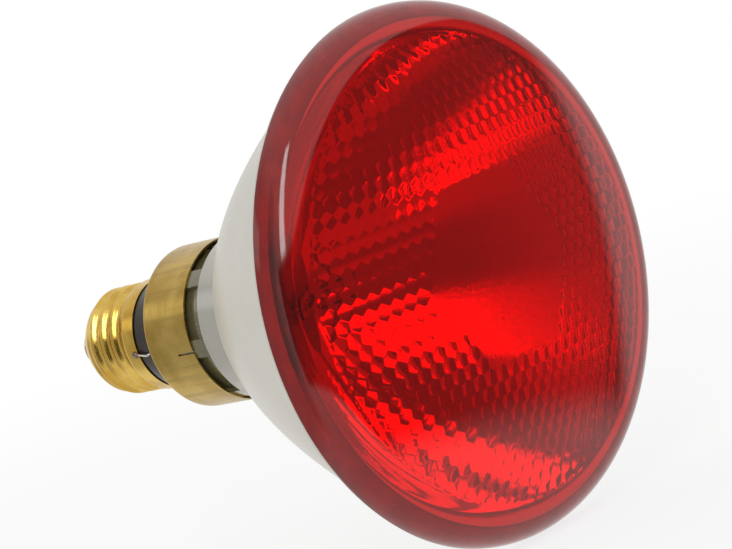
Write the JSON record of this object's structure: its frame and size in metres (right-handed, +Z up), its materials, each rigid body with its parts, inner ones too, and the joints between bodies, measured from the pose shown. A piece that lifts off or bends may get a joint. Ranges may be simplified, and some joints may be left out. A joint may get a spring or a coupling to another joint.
{
  "type": "infrared reflector lamp",
  "caption": "Pressed-glass infrared reflector lamp with a domed red lens, parabolic bowl and skirted Edison screw cap, for a brooder or livestock heat fixture.",
  "frame": {"origin": "centre of the end contact's flat face, on the lamp axis", "axes": "lamp axis along Y, the lens faces -Y and the cap's end contact faces +Y, +Z up"},
  "size_m": [0.122, 0.136, 0.122],
  "materials": {
    "red_glass": "red pressed glass, polished outside, hexagonal lenslets inside",
    "clear_glass": "pressed glass, pale satin over the paraboloid, clear at collar and neck",
    "mirror_film": "vapour-deposited aluminium",
    "tungsten": "drawn wire",
    "molybdenum": "drawn wire",
    "bead_glass": "fire-polished",
    "nickel": "drawn wire",
    "ferrule_metal": "drawn, oxidised at the glass seal",
    "braze": "as brazed",
    "tube_glass": "fire-polished",
    "skirt_brass": "drawn brass, slightly tarnished",
    "black_insulator": "black vitreous enamel",
    "shell_brass": "rolled brass, bright",
    "black_vitrite": "black glass, fire-polished",
    "contact_brass": "pressed",
    "solder": "dull solder",
    "fuse_wire": "drawn wire",
    "glass_fibre": "braided sleeving"
  },
  "bodies": {
    "root": {"lens": "red_glass", "reflector_bowl": "clear_glass", "mirror_coating": "mirror_film", "filament": "tungsten", "filament_legs": "molybdenum", "filament_hooks": "molybdenum", "support_bridge": "bead_glass", "left_lead_post": "nickel", "right_lead_post": "nickel", "left_ferrule": "ferrule_metal", "right_ferrule": "ferrule_metal", "left_post_braze": "braze", "right_post_braze": "braze", "exhaust_tube": "tube_glass", "skirt": "skirt_brass", "insulator_ring": "black_insulator", "screw_shell": "shell_brass", "end_insulator": "black_vitrite", "centre_contact": "contact_brass", "centre_solder": "solder", "side_lead_wire": "nickel", "side_solder": "solder", "centre_lead_wire": "nickel", "fuse_link": "fuse_wire", "fuse_sleeve": "glass_fibre"}
  },
  "joints": []
}
